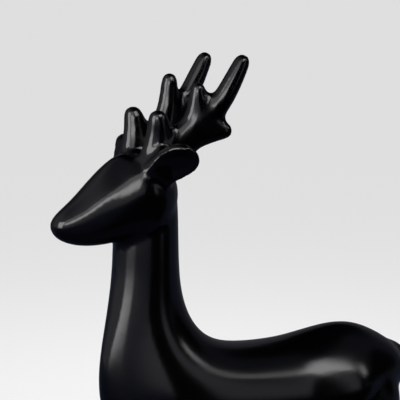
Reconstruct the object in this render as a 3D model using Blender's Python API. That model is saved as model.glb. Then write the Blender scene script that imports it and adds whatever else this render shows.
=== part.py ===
"""A standing deer figurine with short rounded antlers, cast in one with its low oval base.

Millimetres in the tables below, metres in the scene. The deer looks along -Y, its left side is
+X, and the base stands on z = 0 with its centre at the origin.
"""

from math import asin, copysign, pi, sin

import bmesh
import bpy
from mathutils import Vector

MM = 0.001

# Driving dimensions
BASE_LENGTH = 250.0
BASE_WIDTH = 96.0
BASE_THICKNESS = 8.0
BASE_EDGE_RADIUS = 2.5
BASE_UNDERCUT = 6.0  # modelled below the floor, then cut off flat
RIGHT_TINE_RISE = 3.4  # the right antler's second tine stands this much taller than the left's
RIGHT_TINE_GROWTH = 1.08  # and is this much stouter

# Blend radii where forms meet
ANTLER_BLEND = 1.6
LEG_BLEND = 6.0
CAST_BLEND = 1.5

# Accuracy of the solid
GRAIN = 1.33  # voxel that melts the separate forms into one casting
TRIANGLES = 9600
RING_POINTS = 16
HEAD_RING_POINTS = 24

# Roof of the head: where its points lie between ridge and crown, and their share of the bulge
ROOF_SHARES = (0.33, 0.67)
ROOF_FULLNESS = 0.9

# Head, nose to poll, as sections that hang between a point on the upper profile and a point on the
# lower one: upper (y, z), lower (y, z), half width, two points of the cheek (how far out and how
# high, as shares of the half width and the half height): its fullness and its ridge, then the
# ridge's radius, how far the roof over it bulges, and the exponent of the lower half (1 is an
# ellipse, less is nearer a box). The roof is two points between ridge and crown.
HEAD = (
    ((-136.8, 267.8), (-136.8, 263.2), 3.5, (0.95, 0.30), (0.80, 0.66), 1.2, 0.12, 1.0),
    ((-134.3, 272.2), (-133.8, 258.0), 8.0, (0.96, 0.30), (0.84, 0.60), 3.0, 0.10, 0.95),
    ((-128.4, 276.8), (-126.0, 254.2), 10.6, (0.98, 0.32), (0.90, 0.52), 2.2, 0.08, 0.85),
    ((-120.4, 283.2), (-116.5, 252.4), 13.8, (0.985, 0.32), (0.93, 0.50), 1.6, 0.07, 0.8),
    ((-111.8, 292.2), (-106.5, 252.4), 17.2, (0.985, 0.24), (0.94, 0.50), 0.5, 0.05, 0.8),
    ((-105.0, 299.2), (-99.5, 253.4), 19.6, (0.99, 0.16), (0.915, 0.475), 0.4, 0.03, 0.8),
    ((-98.0, 304.6), (-93.0, 253.6), 21.6, (1.0, 0.14), (0.87, 0.50), 2.4, 0.02, 0.85),
    ((-91.0, 307.6), (-87.0, 253.2), 23.2, (1.03, 0.22), (0.90, 0.62), 2.0, 0.02, 0.9),
    ((-82.0, 307.5), (-80.0, 250.5), 24.8, (1.06, 0.25), (0.93, 0.68), 2.4, 0.03, 0.95),
    ((-69.0, 304.5), (-69.0, 255.0), 23.0, (1.0, 0.25), (0.82, 0.64), 5.0, 0.06, 1.0),
    ((-60.0, 297.0), (-60.5, 264.0), 15.5, (0.95, 0.30), (0.82, 0.62), 4.0, 0.08, 1.0),
    ((-56.0, 288.0), (-56.5, 275.0), 8.0, (0.95, 0.30), (0.80, 0.66), 2.0, 0.12, 1.0),
)

# Trunk, head to rump, hung in the same way: upper (y, z), lower (y, z), half width, how high the
# widest level sits, and the exponents of the upper and the lower half.
TRUNK = (
    ((-58.0, 294.0), (-88.0, 290.0), 11.0, 0.0, 1.0, 1.0),
    ((-54.3, 284.0), (-93.5, 279.0), 18.5, 0.0, 1.0, 1.0),
    ((-53.8, 262.0), (-95.8, 255.0), 19.5, 0.0, 1.0, 1.0),
    ((-53.6, 242.0), (-96.4, 232.0), 19.5, 0.0, 1.0, 1.0),
    ((-52.4, 224.0), (-100.3, 208.0), 19.8, 0.0, 1.0, 1.0),
    ((-47.3, 205.5), (-106.2, 186.0), 21.6, 0.0, 1.0, 1.25),
    ((-37.0, 191.0), (-109.4, 163.0), 26.8, 0.03, 1.0, 1.4),
    ((-22.5, 183.5), (-103.6, 135.0), 32.6, 0.02, 0.95, 1.15),
    ((-6.0, 180.2), (-81.0, 116.0), 34.2, 0.03, 0.92, 1.0),
    ((12.0, 179.2), (-46.0, 108.0), 33.8, 0.03, 0.92, 1.0),
    ((26.0, 179.8), (0.0, 107.5), 33.5, 0.0, 1.0, 1.0),
    ((35.0, 180.9), (20.0, 109.5), 33.2, -0.06, 1.0, 1.0),
    ((44.0, 182.2), (36.0, 111.8), 34.9, -0.11, 1.02, 1.0),
    ((54.0, 184.0), (48.0, 114.0), 35.8, -0.15, 1.1, 1.0),
    ((64.0, 185.3), (60.0, 116.0), 36.4, -0.19, 1.16, 1.0),
    ((74.0, 185.3), (72.0, 119.0), 35.6, -0.22, 1.2, 1.0),
    ((86.0, 182.8), (85.0, 123.0), 30.5, -0.2, 1.1, 1.0),
    ((101.0, 175.2), (104.5, 127.5), 24.0, -0.1, 1.05, 1.0),
    ((118.5, 163.5), (121.5, 136.5), 15.5, 0.0, 1.0, 1.0),
)

# Legs from the top down, as level sections: height, centre y, centre x, half depth, half width.
FORE_LEG = (
    (168.0, -70.0, 14.0, 10.0, 5.0),
    (156.0, -72.0, 16.0, 19.0, 9.0),
    (138.0, -75.0, 18.0, 21.0, 12.0),
    (118.0, -78.0, 18.5, 16.5, 12.0),
    (98.0, -79.0, 18.0, 11.5, 10.0),
    (80.0, -79.0, 17.5, 8.5, 8.0),
    (66.0, -79.5, 17.5, 7.8, 7.2),
    (54.0, -79.5, 17.5, 6.8, 6.3),
    (38.0, -79.0, 17.5, 6.0, 5.6),
    (24.0, -79.0, 17.5, 6.2, 5.8),
    (15.0, -81.0, 17.5, 8.0, 7.0),
    (5.0, -82.5, 17.5, 9.5, 7.8),
)
HIND_LEG = (
    (168.0, 72.0, 12.0, 11.0, 6.0),
    (159.0, 75.0, 15.5, 21.0, 10.5),
    (148.0, 78.0, 17.0, 27.0, 13.0),
    (133.0, 80.5, 18.5, 29.5, 15.0),
    (114.0, 82.0, 20.0, 23.0, 14.0),
    (96.0, 86.0, 19.0, 14.5, 10.5),
    (80.0, 94.0, 18.5, 9.5, 8.0),
    (68.0, 99.0, 18.5, 8.0, 7.0),
    (52.0, 98.0, 18.5, 6.8, 6.2),
    (36.0, 94.5, 18.5, 6.2, 5.8),
    (24.0, 92.0, 18.5, 6.4, 6.0),
    (15.0, 89.0, 18.5, 8.2, 7.2),
    (5.0, 87.0, 18.5, 9.5, 7.8),
)

# Left antler and tail. A branch is a run of rounded stations: (x, y, z), half depth, half thickness.
BEAM = (
    ((12.0, -71.0, 300.0), 10.8, 9.0),
    ((14.5, -58.0, 312.0), 11.8, 8.0),
    ((17.5, -48.0, 323.0), 10.4, 6.4),
    ((20.4, -36.8, 332.0), 7.5, 5.9),
    ((22.0, -29.4, 343.3), 7.1, 6.2),
    ((22.5, -20.4, 359.9), 5.7, 5.5),
)
BROW_TINE = (
    ((12.5, -77.0, 300.0), 10.2, 8.5),
    ((14.2, -73.0, 311.0), 10.0, 7.0),
    ((15.2, -72.8, 320.3), 8.8, 6.3),
    ((15.9, -74.4, 327.0), 6.7, 5.9),
)
SECOND_TINE = (
    ((16.0, -52.0, 317.0), 10.2, 6.5),
    ((17.0, -49.6, 327.0), 7.0, 5.8),
    ((17.5, -48.8, 336.5), 5.8, 5.5),
    ((17.6, -48.2, 344.2), 5.3, 5.2),
)
SPUR = (
    ((17.0, -50.0, 316.6), 9.8, 6.2),
    ((20.0, -41.5, 318.2), 7.0, 5.6),
    ((22.0, -32.3, 319.0), 5.7, 5.2),
)
TAIL = (
    ((0.0, 104.0, 161.0), 9.0, 9.0),
    ((0.0, 116.0, 158.5), 8.0, 8.0),
    ((0.0, 126.0, 152.0), 6.2, 6.2),
    ((0.0, 131.0, 143.0), 4.4, 4.4),
)
# The rounding of a branch's two ends: how far past the last station, and how thick there, both as
# shares of that station's size.
BRANCH_START = (0.9, 0.45)
BRANCH_END = ((0.55, 0.9), (1.0, 0.5))

# Left ear: a thick leaf that points out and back, its dish tilted down under a rolled upper rim.
# Sections along it: distance from the root, half height, thickness of its back, how far the upper
# and the lower rim stand out, and how deep the dish is. The exponents shape the upper shoulder of
# its back and the slope of its dish: 1 is round or straight, less is fuller.
EAR_ROOT = (15.0, -79.5, 293.0)
EAR_TIP = (43.2, -64.2, 309.0)
EAR_FACE = (0.75, -0.433, -0.5)
EAR_SHOULDER = 0.3
EAR_DISH_SLOPE = 0.6
EAR = (
    (0.0, 9.0, 5.0, 4.0, 3.0, -5.0),
    (0.18, 10.2, 6.5, 4.5, 3.5, -6.5),
    (0.31, 10.8, 7.5, 4.2, 3.2, -4.0),
    (0.42, 11.3, 8.0, 3.6, 2.9, 0.5),
    (0.56, 11.6, 8.0, 3.2, 2.8, 2.2),
    (0.72, 11.4, 7.6, 3.0, 2.8, 2.4),
    (0.85, 9.4, 6.6, 2.8, 2.5, 1.4),
    (0.92, 7.6, 5.6, 2.4, 2.0, 0.6),
    (0.97, 5.4, 4.2, 1.8, 1.5, 0.0),
    (1.0, 2.8, 2.2, 1.0, 0.8, -0.6),
)


def clear_scene():
    for item in list(bpy.data.objects):
        bpy.data.objects.remove(item)


def new_object(name, bm):
    mesh = bpy.data.meshes.new(name)
    bm.to_mesh(mesh)
    bm.free()
    item = bpy.data.objects.new(name, mesh)
    bpy.context.scene.collection.objects.link(item)
    return item


def add_section(bm, centre, up, side, skew=0.0, crest=1.0, keel=1.0):
    """One ring of a form: a circle drawn out to the half axes up and side. Skew lifts its widest
    level, and crest and keel are the exponents of its upper and lower half."""
    circle = bmesh.ops.create_circle(bm, segments=RING_POINTS, radius=1)
    for vert in circle["verts"]:
        across, height, _ = vert.co
        shape = crest if height > 0 else keel
        level = copysign(abs(height) ** shape, height) + skew * across**2
        reach = copysign(abs(across) ** shape, across)
        vert.co = (centre + up * level + side * reach) * MM
    return circle["verts"]


def skinned(bm, sections):
    """A closed smooth form through the sections."""
    loops = [list({edge for vert in ring for edge in vert.link_edges}) for ring in sections]
    for before, after in zip(loops, loops[1:]):
        bmesh.ops.bridge_loops(bm, edges=before + after)
    bmesh.ops.contextual_create(bm, geom=loops[0])
    bmesh.ops.contextual_create(bm, geom=loops[-1])
    bmesh.ops.recalc_face_normals(bm, faces=bm.faces)
    form = new_object("form", bm)
    smooth = form.modifiers.new("Smooth skin", "SUBSURF")
    smooth.levels = smooth.render_levels = 2
    return form


def hung(table):
    """The form whose sections hang between an upper and a lower profile."""
    bm = bmesh.new()
    rings = []
    for upper, lower, half_width, widest, crest, keel in table:
        top, bottom = Vector((0, *upper)), Vector((0, *lower))
        side = Vector((half_width, 0, 0))
        middle = (top + bottom) / 2
        rings.append(add_section(bm, middle, (top - bottom) / 2, side, widest, crest, keel))
    return skinned(bm, rings)


def head_form(table):
    """The head: its sections have a ridge along the cheek and a roof over it."""
    bm = bmesh.new()
    rings = []
    for upper, lower, half_width, cheek, ridge, radius, bulge, keel in table:
        top, bottom = Vector((0, *upper)), Vector((0, *lower))
        middle, rise = (top + bottom) / 2, (top - bottom) / 2
        size = Vector((half_width, rise.length))
        corner, crown = Vector(ridge) * size, Vector((0, 1)) * size
        above = corner + (crown - corner).normalized() * radius
        swelling = size * bulge * ROOF_FULLNESS
        roof = [above.lerp(crown, share) + swelling for share in ROOF_SHARES]
        upper_points = (Vector(cheek) * size, corner, above, *roof, crown)
        circle = bmesh.ops.create_circle(bm, segments=HEAD_RING_POINTS, radius=1)
        for vert in circle["verts"]:
            across, height, _ = vert.co
            step = round(asin(max(-1.0, min(1.0, height))) * HEAD_RING_POINTS / (2 * pi))
            if step > 0:
                reach, level = upper_points[step - 1]
            else:
                level = -(abs(height) ** keel) * size.y
                reach = abs(across) ** keel * size.x
            side = Vector((copysign(reach, across), 0, 0))
            vert.co = (middle + rise.normalized() * level + side) * MM
        rings.append(circle["verts"])
    return skinned(bm, rings)


def leg(stations, hand):
    bm = bmesh.new()
    rings = []
    for z, y, x, half_depth, half_width in stations:
        depth, width = Vector((0, half_depth, 0)), Vector((half_width, 0, 0))
        rings.append(add_section(bm, Vector((x * hand, y, z)), depth, width))
    return skinned(bm, rings)


def on_side(point, hand):
    return Vector((point[0] * hand, point[1], point[2]))


def branch(run, hand=1, rise=0.0, growth=1.0):
    """A form through the stations: rounded sections square to its path, with rounded ends."""
    points = [on_side(point, hand) + Vector((0, 0, rise)) for point, _, _ in run]
    sizes = [Vector((depth * growth, thickness)) for _, depth, thickness in run]
    first_way = (points[1] - points[0]).normalized()
    last_way = (points[-1] - points[-2]).normalized()
    past, thick = BRANCH_START
    stations = [(points[0] - first_way * sizes[0].x * past, sizes[0] * thick, first_way)]
    for i, (point, size) in enumerate(zip(points, sizes)):
        before = points[max(i - 1, 0)]
        after = points[min(i + 1, len(points) - 1)]
        stations.append((point, size, (after - before).normalized()))
    for past, thick in BRANCH_END:
        stations.append((points[-1] + last_way * sizes[-1].x * past, sizes[-1] * thick, last_way))
    bm = bmesh.new()
    side = first_way.cross(Vector((1, 0, 0))).cross(first_way)
    rings = []
    for point, size, way in stations:
        side = (side - way * side.dot(way)).normalized()
        rings.append(add_section(bm, point, way.cross(side) * size.x, side * size.y))
    return skinned(bm, rings)


def ear(hand):
    root, tip = on_side(EAR_ROOT, hand), on_side(EAR_TIP, hand)
    way = tip - root
    face = on_side(EAR_FACE, hand)
    face = (face - way * face.dot(way) / way.length_squared).normalized()
    up = face.cross(way).normalized() * hand
    rim_out = sin(2 * pi / RING_POINTS)
    bm = bmesh.new()
    rings = []
    for share, half_height, back, upper_rim, lower_rim, dish in EAR:
        centre = root + way * share
        circle = bmesh.ops.create_circle(bm, segments=RING_POINTS, radius=1)
        for vert in circle["verts"]:
            height, out, _ = vert.co
            if out > 0:
                level = height * half_height
                rim = upper_rim if height > 0 else lower_rim
                inside = max(0.0, (out - rim_out) / (1 - rim_out)) ** EAR_DISH_SLOPE
                out = rim * min(1.0, out / rim_out) * (1 - inside) - dish * inside
            else:
                level = copysign(abs(height) ** (EAR_SHOULDER if height > 0 else 1), height)
                level *= half_height
                out *= back
            vert.co = (centre + face * out + up * level) * MM
        rings.append(circle["verts"])
    return skinned(bm, rings)


def base():
    """A flat oval with a rounded upper rim, which reaches below the floor."""
    bm = bmesh.new()
    disc = bmesh.ops.create_circle(bm, cap_ends=True, radius=0.5, segments=72)
    bmesh.ops.scale(bm, vec=(BASE_WIDTH * MM, BASE_LENGTH * MM, 1), verts=disc["verts"])
    bmesh.ops.translate(bm, vec=(0, 0, -BASE_UNDERCUT * MM), verts=disc["verts"])
    raised = bmesh.ops.extrude_face_region(bm, geom=list(bm.faces))
    top = [item for item in raised["geom"] if isinstance(item, bmesh.types.BMVert)]
    bmesh.ops.translate(bm, vec=(0, 0, (BASE_UNDERCUT + BASE_THICKNESS) * MM), verts=top)
    bmesh.ops.recalc_face_normals(bm, faces=bm.faces)
    rim = [edge for edge in bm.edges if all(v in top for v in edge.verts)]
    bmesh.ops.bevel(
        bm,
        geom=rim,
        offset=BASE_EDGE_RADIUS * MM,
        segments=3,
        profile=0.5,
        affect="EDGES",
        material=-1,
    )
    return new_object("form", bm)


def melt(item, softening):
    remesh = item.modifiers.new("Melt", "REMESH")
    remesh.mode = "VOXEL"
    remesh.voxel_size = GRAIN * MM
    soften = item.modifiers.new("Soften", "SMOOTH")
    soften.factor = 0.5
    soften.iterations = softening


def swell(item, distance):
    grow = item.modifiers.new("Swell", "DISPLACE")
    grow.mid_level = 0.0
    grow.strength = distance * MM


def evaluated_mesh(forms):
    """The forms as they are after their modifiers, in one bmesh. The forms are used up."""
    bpy.context.view_layer.update()
    graph = bpy.context.evaluated_depsgraph_get()
    bm = bmesh.new()
    for form in forms:
        evaluated = form.evaluated_get(graph)
        bm.from_mesh(evaluated.to_mesh())
        evaluated.to_mesh_clear()
    for form in forms:
        bpy.data.objects.remove(form)
    return bm


def melted(forms, blend, softening=3):
    """One form from overlapping ones: swollen, melted together and shrunk back, which rounds the
    inner corners to the blend radius."""
    whole = new_object("form", evaluated_mesh(forms))
    melt(whole, softening)
    swell(whole, blend)
    melt(whole, softening)
    swell(whole, -blend)
    melt(whole, 3)
    return whole


def cut_flat(form, name):
    """The form without what is below the floor, closed there by one flat face."""
    bm = evaluated_mesh([form])
    everything = list(bm.verts) + list(bm.edges) + list(bm.faces)
    bmesh.ops.bisect_plane(
        bm, geom=everything, plane_co=(0, 0, 0), plane_no=(0, 0, 1), clear_inner=True
    )
    bmesh.ops.holes_fill(bm, edges=[edge for edge in bm.edges if edge.is_boundary])
    bmesh.ops.triangulate(bm, faces=bm.faces)
    return new_object(name, bm)


def black_gloss():
    material = bpy.data.materials.new("black_gloss")
    material.use_nodes = True
    shader = material.node_tree.nodes["Principled BSDF"]
    shader.inputs["Base Color"].default_value = (0.004, 0.0042, 0.005, 1)
    shader.inputs["Roughness"].default_value = 0.16
    shader.inputs["Metallic"].default_value = 0.0
    return material


clear_scene()
antlers, ears, legs = [], [], []
for hand, rise, growth in ((1, 0.0, 1.0), (-1, RIGHT_TINE_RISE, RIGHT_TINE_GROWTH)):
    tines = [branch(BEAM, hand), branch(BROW_TINE, hand), branch(SPUR, hand)]
    tines.append(branch(SECOND_TINE, hand, rise, growth))
    antlers.append(melted(tines, ANTLER_BLEND))
    ears.append(ear(hand))
    legs += [leg(FORE_LEG, hand), leg(HIND_LEG, hand)]
body = melted([hung(TRUNK), branch(TAIL)] + legs, LEG_BLEND)
whole = melted([body, head_form(HEAD), base()] + ears + antlers, CAST_BLEND, 1)
deer = cut_flat(whole, "deer")
deer.data.materials.append(black_gloss())
deer.data.shade_smooth()
thin_out = deer.modifiers.new("Thin out", "DECIMATE")
thin_out.ratio = TRIANGLES / len(deer.data.polygons)
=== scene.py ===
"""The looks of a standing deer figurine in black gloss lacquer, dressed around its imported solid.

The deer's own sizes are millimetres, as its maker would draw them, and everything else is metres.
The deer looks along -Y, its left side is +X, and it stands on z = 0.
"""

from math import asin, copysign, cos, pi, radians, sin

import bmesh
import bpy
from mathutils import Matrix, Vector


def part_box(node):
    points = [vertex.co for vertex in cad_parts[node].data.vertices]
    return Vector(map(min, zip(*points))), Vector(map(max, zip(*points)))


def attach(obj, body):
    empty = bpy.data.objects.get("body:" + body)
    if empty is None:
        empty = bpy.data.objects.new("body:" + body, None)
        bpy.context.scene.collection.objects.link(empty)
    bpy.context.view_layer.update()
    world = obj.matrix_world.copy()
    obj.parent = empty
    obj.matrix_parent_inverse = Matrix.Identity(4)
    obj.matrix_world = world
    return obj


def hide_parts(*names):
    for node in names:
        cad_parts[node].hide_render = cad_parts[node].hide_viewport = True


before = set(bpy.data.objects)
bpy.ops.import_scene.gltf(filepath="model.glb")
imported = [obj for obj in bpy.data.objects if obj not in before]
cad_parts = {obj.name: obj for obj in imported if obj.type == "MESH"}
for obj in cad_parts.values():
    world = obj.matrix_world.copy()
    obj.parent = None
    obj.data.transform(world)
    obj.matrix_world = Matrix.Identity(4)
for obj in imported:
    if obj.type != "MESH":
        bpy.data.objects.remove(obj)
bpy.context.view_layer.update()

# Camera. A portrait lens off the deer's left cheek, a little higher than its antlers, so that the
# head, neck and back fill the view and the legs stay below it. The distance and the aim, which is
# in front of the deer's middle, are shares of its height.
LENS = 120
CAMERA_AZIMUTH = 60.0
CAMERA_ELEVATION = 8.5
CAMERA_DISTANCE = 2.2707
AIM_FORWARD = 0.1002
AIM_HEIGHT = 0.7523


def towards(azimuth, elevation):
    """A way in degrees. Azimuth 0 is straight in front of the nose, 90 is off the left side."""
    turn, rise = radians(azimuth), radians(elevation)
    return Vector((sin(turn) * cos(rise), -cos(turn) * cos(rise), sin(rise)))


lowest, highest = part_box("deer")
deer_height = highest.z - lowest.z
aim = Vector((0, -AIM_FORWARD * deer_height, AIM_HEIGHT * deer_height))
camera = bpy.data.objects.new("camera", bpy.data.cameras.new("camera"))
camera.data.lens = LENS
camera.location = aim + towards(CAMERA_AZIMUTH, CAMERA_ELEVATION) * CAMERA_DISTANCE * deer_height
camera.rotation_mode = "QUATERNION"
camera.rotation_quaternion = (aim - camera.location).to_track_quat("-Z", "Y")
bpy.context.scene.collection.objects.link(camera)
bpy.context.scene.camera = camera

# The deer. One hollow metal casting with its low oval base: head, trunk and legs flow into each
# other, the ears are dished leaves and the antlers are short round tines. It is sanded smooth and
# sprayed black, and nothing is fixed to it.
MM = 0.001
RING_POINTS = 16


def new_object(name, bm):
    mesh = bpy.data.meshes.new(name)
    bm.to_mesh(mesh)
    bm.free()
    item = bpy.data.objects.new(name, mesh)
    bpy.context.scene.collection.objects.link(item)
    return item


def add_section(bm, centre, up, side, skew=0.0, crest=1.0, keel=1.0):
    """One ring of a form: a circle drawn out to the half axes up and side. Skew lifts its widest
    level, and crest and keel are the exponents of its upper and lower half."""
    circle = bmesh.ops.create_circle(bm, segments=RING_POINTS, radius=1)
    for vert in circle["verts"]:
        across, height, _ = vert.co
        shape = crest if height > 0 else keel
        level = copysign(abs(height) ** shape, height) + skew * across**2
        reach = copysign(abs(across) ** shape, across)
        vert.co = (centre + up * level + side * reach) * MM
    return circle["verts"]


def skinned(bm, sections):
    """A closed smooth form through the sections."""
    loops = [list({edge for vert in ring for edge in vert.link_edges}) for ring in sections]
    for before, after in zip(loops, loops[1:]):
        bmesh.ops.bridge_loops(bm, edges=before + after)
    bmesh.ops.contextual_create(bm, geom=loops[0])
    bmesh.ops.contextual_create(bm, geom=loops[-1])
    bmesh.ops.recalc_face_normals(bm, faces=bm.faces)
    form = new_object("form", bm)
    smooth = form.modifiers.new("Smooth skin", "SUBSURF")
    smooth.levels = smooth.render_levels = 2
    return form


# Trunk: neck, chest, back, belly and rump in one sweep, from under the head backwards. Its
# sections hang between two profiles: upper (y, z), lower (y, z), half width, how high the widest
# level sits as a share of the half height, and the exponents of the upper and the lower half. An
# exponent of 1 is an ellipse, less is nearer a box and more is leaner.
TRUNK = (
    ((-58.0, 294.0), (-88.0, 290.0), 11.0, 0.0, 1.0, 1.0),
    ((-54.3, 284.0), (-93.5, 279.0), 18.5, 0.0, 1.0, 1.0),
    ((-53.8, 262.0), (-95.8, 255.0), 19.5, 0.0, 1.0, 1.0),
    ((-53.6, 242.0), (-96.4, 232.0), 19.5, 0.0, 1.0, 1.0),
    ((-52.4, 224.0), (-100.3, 208.0), 19.8, 0.0, 1.0, 1.0),
    ((-47.3, 205.5), (-106.2, 186.0), 21.6, 0.0, 1.0, 1.25),
    ((-37.0, 191.0), (-109.4, 163.0), 26.8, 0.03, 1.0, 1.4),
    ((-22.5, 183.5), (-103.6, 135.0), 32.6, 0.02, 0.95, 1.15),
    ((-6.0, 180.2), (-81.0, 116.0), 34.2, 0.03, 0.92, 1.0),
    ((12.0, 179.2), (-46.0, 108.0), 33.8, 0.03, 0.92, 1.0),
    ((26.0, 179.8), (0.0, 107.5), 33.5, 0.0, 1.0, 1.0),
    ((35.0, 180.9), (20.0, 109.5), 33.2, -0.06, 1.0, 1.0),
    ((44.0, 182.2), (36.0, 111.8), 34.9, -0.11, 1.02, 1.0),
    ((54.0, 184.0), (48.0, 114.0), 35.8, -0.15, 1.1, 1.0),
    ((64.0, 185.3), (60.0, 116.0), 36.4, -0.19, 1.16, 1.0),
    ((74.0, 185.3), (72.0, 119.0), 35.6, -0.22, 1.2, 1.0),
    ((86.0, 182.8), (85.0, 123.0), 30.5, -0.2, 1.1, 1.0),
    ((101.0, 175.2), (104.5, 127.5), 24.0, -0.1, 1.05, 1.0),
    ((118.5, 163.5), (121.5, 136.5), 15.5, 0.0, 1.0, 1.0),
)


def trunk():
    bm = bmesh.new()
    rings = []
    for upper, lower, half_width, widest, crest, keel in TRUNK:
        top, bottom = Vector((0, *upper)), Vector((0, *lower))
        side = Vector((half_width, 0, 0))
        middle = (top + bottom) / 2
        rings.append(add_section(bm, middle, (top - bottom) / 2, side, widest, crest, keel))
    return skinned(bm, rings)


# Head: a blunt wedge from the nose to the poll, with a ridge along each cheek under a bulging
# roof. Its sections hang as the trunk's do: upper (y, z), lower (y, z), half width, the cheek's
# fullness and its ridge, each as how far out and how high in shares of the half width and the half
# height, the ridge's radius, how far the roof bulges, and the exponent of the lower half. Between
# ridge and crown the roof has two points, at these shares of the way.
HEAD = (
    ((-136.8, 267.8), (-136.8, 263.2), 3.5, (0.95, 0.30), (0.80, 0.66), 1.2, 0.12, 1.0),
    ((-134.3, 272.2), (-133.8, 258.0), 8.0, (0.96, 0.30), (0.84, 0.60), 3.0, 0.10, 0.95),
    ((-128.4, 276.8), (-126.0, 254.2), 10.6, (0.98, 0.32), (0.90, 0.52), 2.2, 0.08, 0.85),
    ((-120.4, 283.2), (-116.5, 252.4), 13.8, (0.985, 0.32), (0.93, 0.50), 1.6, 0.07, 0.8),
    ((-111.8, 292.2), (-106.5, 252.4), 17.2, (0.985, 0.24), (0.94, 0.50), 0.5, 0.05, 0.8),
    ((-105.0, 299.2), (-99.5, 253.4), 19.6, (0.99, 0.16), (0.915, 0.475), 0.4, 0.03, 0.8),
    ((-98.0, 304.6), (-93.0, 253.6), 21.6, (1.0, 0.14), (0.87, 0.50), 2.4, 0.02, 0.85),
    ((-91.0, 307.6), (-87.0, 253.2), 23.2, (1.03, 0.22), (0.90, 0.62), 2.0, 0.02, 0.9),
    ((-82.0, 307.5), (-80.0, 250.5), 24.8, (1.06, 0.25), (0.93, 0.68), 2.4, 0.03, 0.95),
    ((-69.0, 304.5), (-69.0, 255.0), 23.0, (1.0, 0.25), (0.82, 0.64), 5.0, 0.06, 1.0),
    ((-60.0, 297.0), (-60.5, 264.0), 15.5, (0.95, 0.30), (0.82, 0.62), 4.0, 0.08, 1.0),
    ((-56.0, 288.0), (-56.5, 275.0), 8.0, (0.95, 0.30), (0.80, 0.66), 2.0, 0.12, 1.0),
)
HEAD_RING_POINTS = 24
ROOF_SHARES = (0.33, 0.67)
ROOF_FULLNESS = 0.9


def head():
    bm = bmesh.new()
    rings = []
    for upper, lower, half_width, cheek, ridge, radius, bulge, keel in HEAD:
        top, bottom = Vector((0, *upper)), Vector((0, *lower))
        middle, rise = (top + bottom) / 2, (top - bottom) / 2
        size = Vector((half_width, rise.length))
        corner, crown = Vector(ridge) * size, Vector((0, 1)) * size
        above = corner + (crown - corner).normalized() * radius
        swelling = size * bulge * ROOF_FULLNESS
        roof = [above.lerp(crown, share) + swelling for share in ROOF_SHARES]
        upper_points = (Vector(cheek) * size, corner, above, *roof, crown)
        circle = bmesh.ops.create_circle(bm, segments=HEAD_RING_POINTS, radius=1)
        for vert in circle["verts"]:
            across, height, _ = vert.co
            angle = asin(max(-1.0, min(1.0, height)))
            place = round(angle * HEAD_RING_POINTS / (2 * pi))
            if place > 0:
                reach, level = upper_points[place - 1]
            else:
                level = -(abs(height) ** keel) * size.y
                reach = abs(across) ** keel * size.x
            side = Vector((copysign(reach, across), 0, 0))
            vert.co = (middle + rise.normalized() * level + side) * MM
        rings.append(circle["verts"])
    return skinned(bm, rings)


# Legs: slim, with a full shoulder or thigh inside the trunk, a knee or hock and a small hoof on
# the base. Level sections from the top down: height, centre y, centre x, half depth, half width.
FORE_LEG = (
    (168.0, -70.0, 14.0, 10.0, 5.0),
    (156.0, -72.0, 16.0, 19.0, 9.0),
    (138.0, -75.0, 18.0, 21.0, 12.0),
    (118.0, -78.0, 18.5, 16.5, 12.0),
    (98.0, -79.0, 18.0, 11.5, 10.0),
    (80.0, -79.0, 17.5, 8.5, 8.0),
    (66.0, -79.5, 17.5, 7.8, 7.2),
    (54.0, -79.5, 17.5, 6.8, 6.3),
    (38.0, -79.0, 17.5, 6.0, 5.6),
    (24.0, -79.0, 17.5, 6.2, 5.8),
    (15.0, -81.0, 17.5, 8.0, 7.0),
    (5.0, -82.5, 17.5, 9.5, 7.8),
)
HIND_LEG = (
    (168.0, 72.0, 12.0, 11.0, 6.0),
    (159.0, 75.0, 15.5, 21.0, 10.5),
    (148.0, 78.0, 17.0, 27.0, 13.0),
    (133.0, 80.5, 18.5, 29.5, 15.0),
    (114.0, 82.0, 20.0, 23.0, 14.0),
    (96.0, 86.0, 19.0, 14.5, 10.5),
    (80.0, 94.0, 18.5, 9.5, 8.0),
    (68.0, 99.0, 18.5, 8.0, 7.0),
    (52.0, 98.0, 18.5, 6.8, 6.2),
    (36.0, 94.5, 18.5, 6.2, 5.8),
    (24.0, 92.0, 18.5, 6.4, 6.0),
    (15.0, 89.0, 18.5, 8.2, 7.2),
    (5.0, 87.0, 18.5, 9.5, 7.8),
)


def leg(stations, hand):
    """A leg through the stations. Hand is 1 on the deer's left side and -1 on its right."""
    bm = bmesh.new()
    rings = []
    for z, y, x, half_depth, half_width in stations:
        depth, width = Vector((0, half_depth, 0)), Vector((half_width, 0, 0))
        rings.append(add_section(bm, Vector((x * hand, y, z)), depth, width))
    return skinned(bm, rings)


# Antlers and tail: short round branches, here the left antler's four and the tail. Stations along
# each: (x, y, z), half depth, half thickness.
BEAM = (
    ((12.0, -71.0, 300.0), 10.8, 9.0),
    ((14.5, -58.0, 312.0), 11.8, 8.0),
    ((17.5, -48.0, 323.0), 10.4, 6.4),
    ((20.4, -36.8, 332.0), 7.5, 5.9),
    ((22.0, -29.4, 343.3), 7.1, 6.2),
    ((22.5, -20.4, 359.9), 5.7, 5.5),
)
BROW_TINE = (
    ((12.5, -77.0, 300.0), 10.2, 8.5),
    ((14.2, -73.0, 311.0), 10.0, 7.0),
    ((15.2, -72.8, 320.3), 8.8, 6.3),
    ((15.9, -74.4, 327.0), 6.7, 5.9),
)
SECOND_TINE = (
    ((16.0, -52.0, 317.0), 10.2, 6.5),
    ((17.0, -49.6, 327.0), 7.0, 5.8),
    ((17.5, -48.8, 336.5), 5.8, 5.5),
    ((17.6, -48.2, 344.2), 5.3, 5.2),
)
SPUR = (
    ((17.0, -50.0, 316.6), 9.8, 6.2),
    ((20.0, -41.5, 318.2), 7.0, 5.6),
    ((22.0, -32.3, 319.0), 5.7, 5.2),
)
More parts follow.
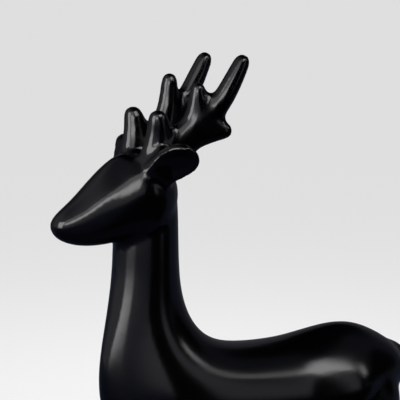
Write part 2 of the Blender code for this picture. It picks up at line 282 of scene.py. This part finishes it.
TAIL = (
    ((0.0, 104.0, 161.0), 9.0, 9.0),
    ((0.0, 116.0, 158.5), 8.0, 8.0),
    ((0.0, 126.0, 152.0), 6.2, 6.2),
    ((0.0, 131.0, 143.0), 4.4, 4.4),
)
# The rounding of a branch's two ends: how far past the last station, and how thick there, both as
# shares of that station's size.
BRANCH_START = (0.9, 0.45)
BRANCH_END = ((0.55, 0.9), (1.0, 0.5))
# The right antler's second tine stands taller than the left's and is deeper.
RIGHT_TINE_RISE = 3.4
RIGHT_TINE_GROWTH = 1.08


def on_side(point, hand):
    return Vector((point[0] * hand, point[1], point[2]))


def branch(run, hand=1, rise=0.0, growth=1.0):
    """A form through the stations: rounded sections square to its path, with rounded ends."""
    points = [on_side(point, hand) + Vector((0, 0, rise)) for point, _, _ in run]
    sizes = [Vector((depth * growth, thickness)) for _, depth, thickness in run]
    first_way = (points[1] - points[0]).normalized()
    last_way = (points[-1] - points[-2]).normalized()
    past, thick = BRANCH_START
    stations = [(points[0] - first_way * sizes[0].x * past, sizes[0] * thick, first_way)]
    for i, (point, size) in enumerate(zip(points, sizes)):
        before = points[max(i - 1, 0)]
        after = points[min(i + 1, len(points) - 1)]
        stations.append((point, size, (after - before).normalized()))
    for past, thick in BRANCH_END:
        stations.append((points[-1] + last_way * sizes[-1].x * past, sizes[-1] * thick, last_way))
    bm = bmesh.new()
    side = first_way.cross(Vector((1, 0, 0))).cross(first_way)
    rings = []
    for point, size, way in stations:
        side = (side - way * side.dot(way)).normalized()
        rings.append(add_section(bm, point, way.cross(side) * size.x, side * size.y))
    return skinned(bm, rings)


# Ears: thick leaves that point out and back, each dish tilted down under a rolled upper rim. The
# left one's sections: share of the way from root to tip, half height, thickness of its back, how
# far the upper and the lower rim stand out, and how deep the dish is. The exponents shape the
# upper shoulder of the back and the slope of the dish: 1 is round or straight, less is fuller.
EAR_ROOT = (15.0, -79.5, 293.0)
EAR_TIP = (43.2, -64.2, 309.0)
EAR_FACE = (0.75, -0.433, -0.5)
EAR_SHOULDER = 0.3
EAR_DISH_SLOPE = 0.6
EAR = (
    (0.0, 9.0, 5.0, 4.0, 3.0, -5.0),
    (0.18, 10.2, 6.5, 4.5, 3.5, -6.5),
    (0.31, 10.8, 7.5, 4.2, 3.2, -4.0),
    (0.42, 11.3, 8.0, 3.6, 2.9, 0.5),
    (0.56, 11.6, 8.0, 3.2, 2.8, 2.2),
    (0.72, 11.4, 7.6, 3.0, 2.8, 2.4),
    (0.85, 9.4, 6.6, 2.8, 2.5, 1.4),
    (0.92, 7.6, 5.6, 2.4, 2.0, 0.6),
    (0.97, 5.4, 4.2, 1.8, 1.5, 0.0),
    (1.0, 2.8, 2.2, 1.0, 0.8, -0.6),
)


def ear(hand):
    root, tip = on_side(EAR_ROOT, hand), on_side(EAR_TIP, hand)
    way = tip - root
    face = on_side(EAR_FACE, hand)
    face = (face - way * face.dot(way) / way.length_squared).normalized()
    up = face.cross(way).normalized() * hand
    rim_out = sin(2 * pi / RING_POINTS)
    bm = bmesh.new()
    rings = []
    for share, half_height, back, upper_rim, lower_rim, dish in EAR:
        centre = root + way * share
        circle = bmesh.ops.create_circle(bm, segments=RING_POINTS, radius=1)
        for vert in circle["verts"]:
            height, out, _ = vert.co
            if out > 0:
                level = height * half_height
                rim = upper_rim if height > 0 else lower_rim
                inside = max(0.0, (out - rim_out) / (1 - rim_out)) ** EAR_DISH_SLOPE
                out = rim * min(1.0, out / rim_out) * (1 - inside) - dish * inside
            else:
                shoulder = EAR_SHOULDER if height > 0 else 1
                level = copysign(abs(height) ** shoulder, height) * half_height
                out *= back
            vert.co = (centre + face * out + up * level) * MM
        rings.append(circle["verts"])
    return skinned(bm, rings)


# Base: an oval plate with a rounded upper rim, cast with the hooves. It is modelled down past the
# floor and cut off flat there with the rest, so that its underside is one true plane.
BASE_LENGTH = 250.0
BASE_WIDTH = 96.0
BASE_THICKNESS = 8.0
BASE_EDGE_RADIUS = 2.5
BASE_UNDERCUT = 6.0
BASE_POINTS = 72


def base():
    bm = bmesh.new()
    disc = bmesh.ops.create_circle(bm, cap_ends=True, radius=0.5, segments=BASE_POINTS)
    bmesh.ops.scale(bm, vec=(BASE_WIDTH * MM, BASE_LENGTH * MM, 1), verts=disc["verts"])
    bmesh.ops.translate(bm, vec=(0, 0, -BASE_UNDERCUT * MM), verts=disc["verts"])
    raised = bmesh.ops.extrude_face_region(bm, geom=list(bm.faces))
    top = [item for item in raised["geom"] if isinstance(item, bmesh.types.BMVert)]
    bmesh.ops.translate(bm, vec=(0, 0, (BASE_UNDERCUT + BASE_THICKNESS) * MM), verts=top)
    bmesh.ops.recalc_face_normals(bm, faces=bm.faces)
    rim = [edge for edge in bm.edges if all(v in top for v in edge.verts)]
    bmesh.ops.bevel(
        bm,
        geom=rim,
        offset=BASE_EDGE_RADIUS * MM,
        segments=3,
        profile=0.5,
        affect="EDGES",
        material=-1,
    )
    return new_object("form", bm)


# One skin. The forms are melted into each other, as the caster's pattern was filled and sanded
# where they meet: swollen by a blend, melted together and shrunk back by it, which rounds the
# inner corners. A melt rebuilds the skin at one grain, then evens it in a few passes.
SKIN_GRAIN = 1.33
EVENING = 0.5
EVENING_PASSES = 3
CAST_EVENING_PASSES = 1
ANTLER_BLEND = 1.6
LEG_BLEND = 6.0
CAST_BLEND = 1.5


def melt(item, passes):
    remesh = item.modifiers.new("Melt", "REMESH")
    remesh.mode = "VOXEL"
    remesh.voxel_size = SKIN_GRAIN * MM
    evening = item.modifiers.new("Evening", "SMOOTH")
    evening.factor = EVENING
    evening.iterations = passes


def swell(item, distance):
    grow = item.modifiers.new("Swell", "DISPLACE")
    grow.mid_level = 0.0
    grow.strength = distance * MM


def evaluated_mesh(forms):
    """The forms as they are after their modifiers, in one bmesh. The forms are used up."""
    bpy.context.view_layer.update()
    graph = bpy.context.evaluated_depsgraph_get()
    bm = bmesh.new()
    for form in forms:
        evaluated = form.evaluated_get(graph)
        bm.from_mesh(evaluated.to_mesh())
        evaluated.to_mesh_clear()
    for form in forms:
        bpy.data.objects.remove(form)
    return bm


def melted(forms, blend, passes=EVENING_PASSES):
    """The forms as one, with the blend's roundness where they meet."""
    whole = new_object("form", evaluated_mesh(forms))
    melt(whole, passes)
    swell(whole, blend)
    melt(whole, passes)
    swell(whole, -blend)
    melt(whole, EVENING_PASSES)
    return whole


def cut_flat(form, name):
    """The form without what is below the floor, closed there by one flat face."""
    bm = evaluated_mesh([form])
    everything = list(bm.verts) + list(bm.edges) + list(bm.faces)
    bmesh.ops.bisect_plane(
        bm, geom=everything, plane_co=(0, 0, 0), plane_no=(0, 0, 1), clear_inner=True
    )
    bmesh.ops.holes_fill(bm, edges=[edge for edge in bm.edges if edge.is_boundary])
    bmesh.ops.triangulate(bm, faces=bm.faces)
    return new_object(name, bm)


antlers, ears, legs = [], [], []
for hand, rise, growth in ((1, 0.0, 1.0), (-1, RIGHT_TINE_RISE, RIGHT_TINE_GROWTH)):
    tines = [branch(BEAM, hand), branch(BROW_TINE, hand), branch(SPUR, hand)]
    tines.append(branch(SECOND_TINE, hand, rise, growth))
    antlers.append(melted(tines, ANTLER_BLEND))
    ears.append(ear(hand))
    legs += [leg(FORE_LEG, hand), leg(HIND_LEG, hand)]
body = melted([trunk(), branch(TAIL)] + legs, LEG_BLEND)
whole = melted([body, head(), base()] + ears + antlers, CAST_BLEND, CAST_EVENING_PASSES)
deer = cut_flat(whole, "lacquered_deer")
deer.data.shade_smooth()

# Lacquer. Black, sprayed and baked. It lies thinner in some places than in others, and it has a
# soft wave and a fine orange peel: here their sizes, the depths of the relief, and the roughness
# with what thin film and peel add to it.
FILM_SIZE = 24.0
WAVE_SIZE = 9.0
PEEL_SIZE = 0.9
WAVE_DEPTH = 0.02
PEEL_DEPTH = 0.012
ROUGHNESS = 0.12
FILM_ROUGHNESS = 0.05
PEEL_ROUGHNESS = 0.03
DEEP_BLACK = (0.0003, 0.0003, 0.0004, 1)
THIN_BLACK = (0.0006, 0.0006, 0.0008, 1)
LACQUER_IOR = 1.5


class Field:
    """A value that varies over a skin or a sky. It wraps a node's output, and maths adds nodes."""

    def __init__(self, tree, socket=None):
        self.tree = tree
        self.socket = socket

    def node(self, kind, settings, sockets, output=0):
        """The output of a new node of that kind. Its settings are made before its sockets."""
        node = self.tree.nodes.new(kind)
        for name, value in settings.items():
            setattr(node, name, value)
        for name, value in sockets.items():
            if isinstance(value, Field):
                self.tree.links.new(value.socket, node.inputs[name])
            else:
                node.inputs[name].default_value = value
        return Field(self.tree, node.outputs[output])

    def maths(self, operation, left, right):
        return self.node("ShaderNodeMath", {"operation": operation}, {0: left, 1: right})

    def __add__(self, other):
        return self.maths("ADD", self, other)

    def __mul__(self, other):
        return self.maths("MULTIPLY", self, other)

    __radd__ = __add__
    __rmul__ = __mul__


def black_gloss():
    material = bpy.data.materials.new("black_gloss")
    material.use_nodes = True
    tree = material.node_tree
    shader = tree.nodes["Principled BSDF"]
    shader.inputs["IOR"].default_value = LACQUER_IOR
    tools = Field(tree)
    place = tools.node("ShaderNodeTexCoord", {}, {}, "Object")

    def blotches(size, detail):
        """Noise from 0 to 1, whose blotches are about size millimetres across."""
        sockets = {"Vector": place, "Scale": 1 / (size * MM), "Detail": detail}
        return tools.node("ShaderNodeTexNoise", {}, sockets)

    film = blotches(FILM_SIZE, 2.0)
    peel = blotches(PEEL_SIZE, 1.0)
    wave = blotches(WAVE_SIZE, 1.0)
    sockets = {"Factor": film, "A": DEEP_BLACK, "B": THIN_BLACK}
    tint = tools.node("ShaderNodeMix", {"data_type": "RGBA"}, sockets, "Result")
    tree.links.new(tint.socket, shader.inputs["Base Color"])
    haze = ROUGHNESS + FILM_ROUGHNESS * film + PEEL_ROUGHNESS * peel
    tree.links.new(haze.socket, shader.inputs["Roughness"])
    relief = PEEL_DEPTH * peel + WAVE_DEPTH * wave
    sockets = {"Strength": 1.0, "Distance": MM, "Height": relief}
    bump = tools.node("ShaderNodeBump", {}, sockets)
    tree.links.new(bump.socket, shader.inputs["Normal"])
    return material


deer.data.materials.append(black_gloss())
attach(deer, "root")
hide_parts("deer")

# Studio floor. A wide pale sheet, so far across that it meets the pale surround at the horizon.
# It is left out of the lacquer's reflections, as a black card under the camera would do it.
FLOOR_REACH = 40
FLOOR_POINTS = 96
PAPER = (0.8, 0.8, 0.8, 1)
PAPER_ROUGHNESS = 0.9
bm = bmesh.new()
bmesh.ops.create_circle(bm, cap_ends=True, radius=FLOOR_REACH, segments=FLOOR_POINTS)
floor = new_object("floor", bm)
floor.visible_glossy = False
paper = bpy.data.materials.new("pale_paper")
paper.use_nodes = True
paper_inputs = paper.node_tree.nodes["Principled BSDF"].inputs
paper_inputs["Base Color"].default_value = PAPER
paper_inputs["Roughness"].default_value = PAPER_ROUGHNESS
paper_inputs["Specular IOR Level"].default_value = 0.0
floor.data.materials.append(paper)

# Surround. Pale for the eye and for the floor. What the lacquer mirrors is the room round the
# set: a grey wall before the deer, dimmer towards its right and overhead, darkness with a faint
# glow behind it, a dim floor, and softboxes, whose edges fade a little.
SURROUND_SEEN = 0.735
SURROUND_LIGHT = 0.92
WALL_GREY = (0.43, 0.44, 0.49, 1)
CEILING = (0.14, 0.145, 0.18, 1)
FAR_WALL = (0.05, 0.05, 0.06, 1)
NEAR_FLOOR = (0.02, 0.024, 0.045, 1)
DIM_FLOOR = (0.055, 0.065, 0.11, 1)
DARK = (0.001, 0.001, 0.0015, 1)
BACK_GLOW = (0.05, 0.055, 0.075, 1)
# Parts of the room: azimuth and elevation of a part's middle, then where its edge starts and
# where it is full, as cosines of the angle from that middle. The shades darken the glow, and the
# strip darkens the floor off the deer's left flank.
ROOM_PARTS = {
    "ceiling": (0, 90, 0.8, 0.92),
    "near_wall": (40, 10, -0.45, 0.5),
    "front": (-3, 0, -0.07, 0.07),
    "back_glow": (207, 0, 0.3, 0.45),
    "high_shade": (260, 65, 0.47, 0.87),
    "low_shade": (158, 14, 0.927, 0.978),
    "above_floor": (0, 90, -0.17, -0.06),
    "outer_floor": (0, 90, -0.9, -0.1),
    "strip_top": (0, 90, -0.05, -0.17),
    "strip_foot": (0, 90, -0.72, -0.64),
    "strip_back": (177, 0, -0.03, 0.03),
    "strip_side": (60, 0, -0.1, 0.0),
}
# Softboxes: azimuth, elevation, width and height in degrees, how wide their sides, top and bottom
# fade, and colour. A later one covers an earlier one.
SOFTBOXES = {
    "key_left": (18.2, 19.0, 34.6, 43.0, 4.0, 4.0, 10.0, (5.6, 5.6, 5.6)),
    "key_top": (60.5, 38.0, 35.8, 26.0, 3.0, 4.0, 6.0, (1.6, 1.6, 1.6)),
    "key_right": (61.5, 18.0, 33.8, 15.0, 3.0, 9.0, 6.0, (5.6, 5.6, 5.6)),
    "right_low": (141.8, 24.5, 6.6, 19.0, 2.5, 6.0, 8.0, (2.6, 2.6, 2.6)),
    "right_box": (116.0, 39.5, 32.0, 23.0, 6.0, 5.0, 5.0, (4.9, 4.9, 4.9)),
    "right_glow": (157.0, 42.0, 34.0, 26.0, 14.0, 12.0, 8.0, (0.055, 0.06, 0.08)),
    "back_panel": (230.0, 8.0, 70.0, 44.0, 10.0, 10.0, 10.0, (0.085, 0.085, 0.10)),
    "right_card": (124.5, 12.0, 11.0, 36.0, 2.0, 3.0, 14.0, (0.43, 0.44, 0.49)),
}
world = bpy.data.worlds.new("surround")
world.use_nodes = True
world.cycles.sampling_method = "NONE"
bpy.context.scene.world = world
sky = Field(world.node_tree)
sight = sky.node("ShaderNodeTexCoord", {}, {}, "Generated")


def step_along(axis, start, end):
    """From 0 to 1, as the cosine of the angle between sight and axis goes from start to end."""
    operation = {"operation": "DOT_PRODUCT"}
    cosine = sky.node("ShaderNodeVectorMath", operation, {0: sight, 1: axis}, "Value")
    sockets = {"Value": cosine, "From Min": start, "From Max": end}
    return sky.node("ShaderNodeMapRange", {"interpolation_type": "SMOOTHSTEP"}, sockets)


def mixed(share, first, second):
    sockets = {"Factor": share, "A": first, "B": second}
    return sky.node("ShaderNodeMix", {"data_type": "RGBA"}, sockets, "Result")


def softbox(azimuth, elevation, width, height, side_fade, top_fade, foot_fade):
    """1 in the softbox, as it is seen from the deer, and 0 outside it."""
    forward = towards(azimuth, elevation)
    side, up = towards(azimuth + 90, 0), towards(azimuth, elevation + 90)

    def inside(outward, across, fade):
        half, soft = radians(across / 2), sin(radians(fade / 2))
        inward = forward * sin(half) - outward * cos(half)
        return step_along(inward, -soft, soft)

    sides = inside(side, width, side_fade) * inside(-side, width, side_fade)
    return sides * inside(up, height, top_fade) * inside(-up, height, foot_fade)


part = {
    name: step_along(towards(azimuth, elevation), start, end)
    for name, (azimuth, elevation, start, end) in ROOM_PARTS.items()
}
room = mixed(part["ceiling"], WALL_GREY, CEILING)
room = mixed(part["near_wall"], FAR_WALL, room)
room = mixed(part["front"], DARK, room)
glow = mixed(part["high_shade"] + part["low_shade"], BACK_GLOW, DARK)
room = mixed(part["back_glow"], room, glow)
room = mixed(part["above_floor"], mixed(part["outer_floor"], NEAR_FLOOR, DIM_FLOOR), room)
strip = part["strip_top"] * part["strip_foot"] * part["strip_back"] * part["strip_side"]
room = mixed(strip, room, DARK)
for *placing, colour in SOFTBOXES.values():
    room = mixed(softbox(*placing), room, (*colour, 1))
seen = sky.node("ShaderNodeLightPath", {}, {}, "Is Camera Ray")
mirrored = sky.node("ShaderNodeLightPath", {}, {}, "Is Glossy Ray")
pale = SURROUND_LIGHT + (SURROUND_SEEN - SURROUND_LIGHT) * seen
shown = mixed(mirrored, pale, room)
backdrop = world.node_tree.nodes["Background"]
world.node_tree.links.new(shown.socket, backdrop.inputs["Color"])

# Overhead lamp. A small soft light off the deer's right flank. It points straight down and
# brightens the floor there, and the lacquer doesn't mirror it.
LAMP_SIZE = 0.35
LAMP_WATTS = 1.3
LAMP_FROM_AIM = (-0.33, 0.19, 0.45)
overhead = bpy.data.lights.new("overhead", "AREA")
overhead.shape = "DISK"
overhead.size = LAMP_SIZE
overhead.energy = LAMP_WATTS
overhead_lamp = bpy.data.objects.new("overhead", overhead)
overhead_lamp.visible_camera = False
overhead_lamp.visible_glossy = False
overhead_lamp.location = aim + Vector(LAMP_FROM_AIM)
bpy.context.scene.collection.objects.link(overhead_lamp)

# The tones are shown as they are lit.
tones = bpy.context.scene.view_settings
tones.view_transform = "Standard"
tones.look = "None"
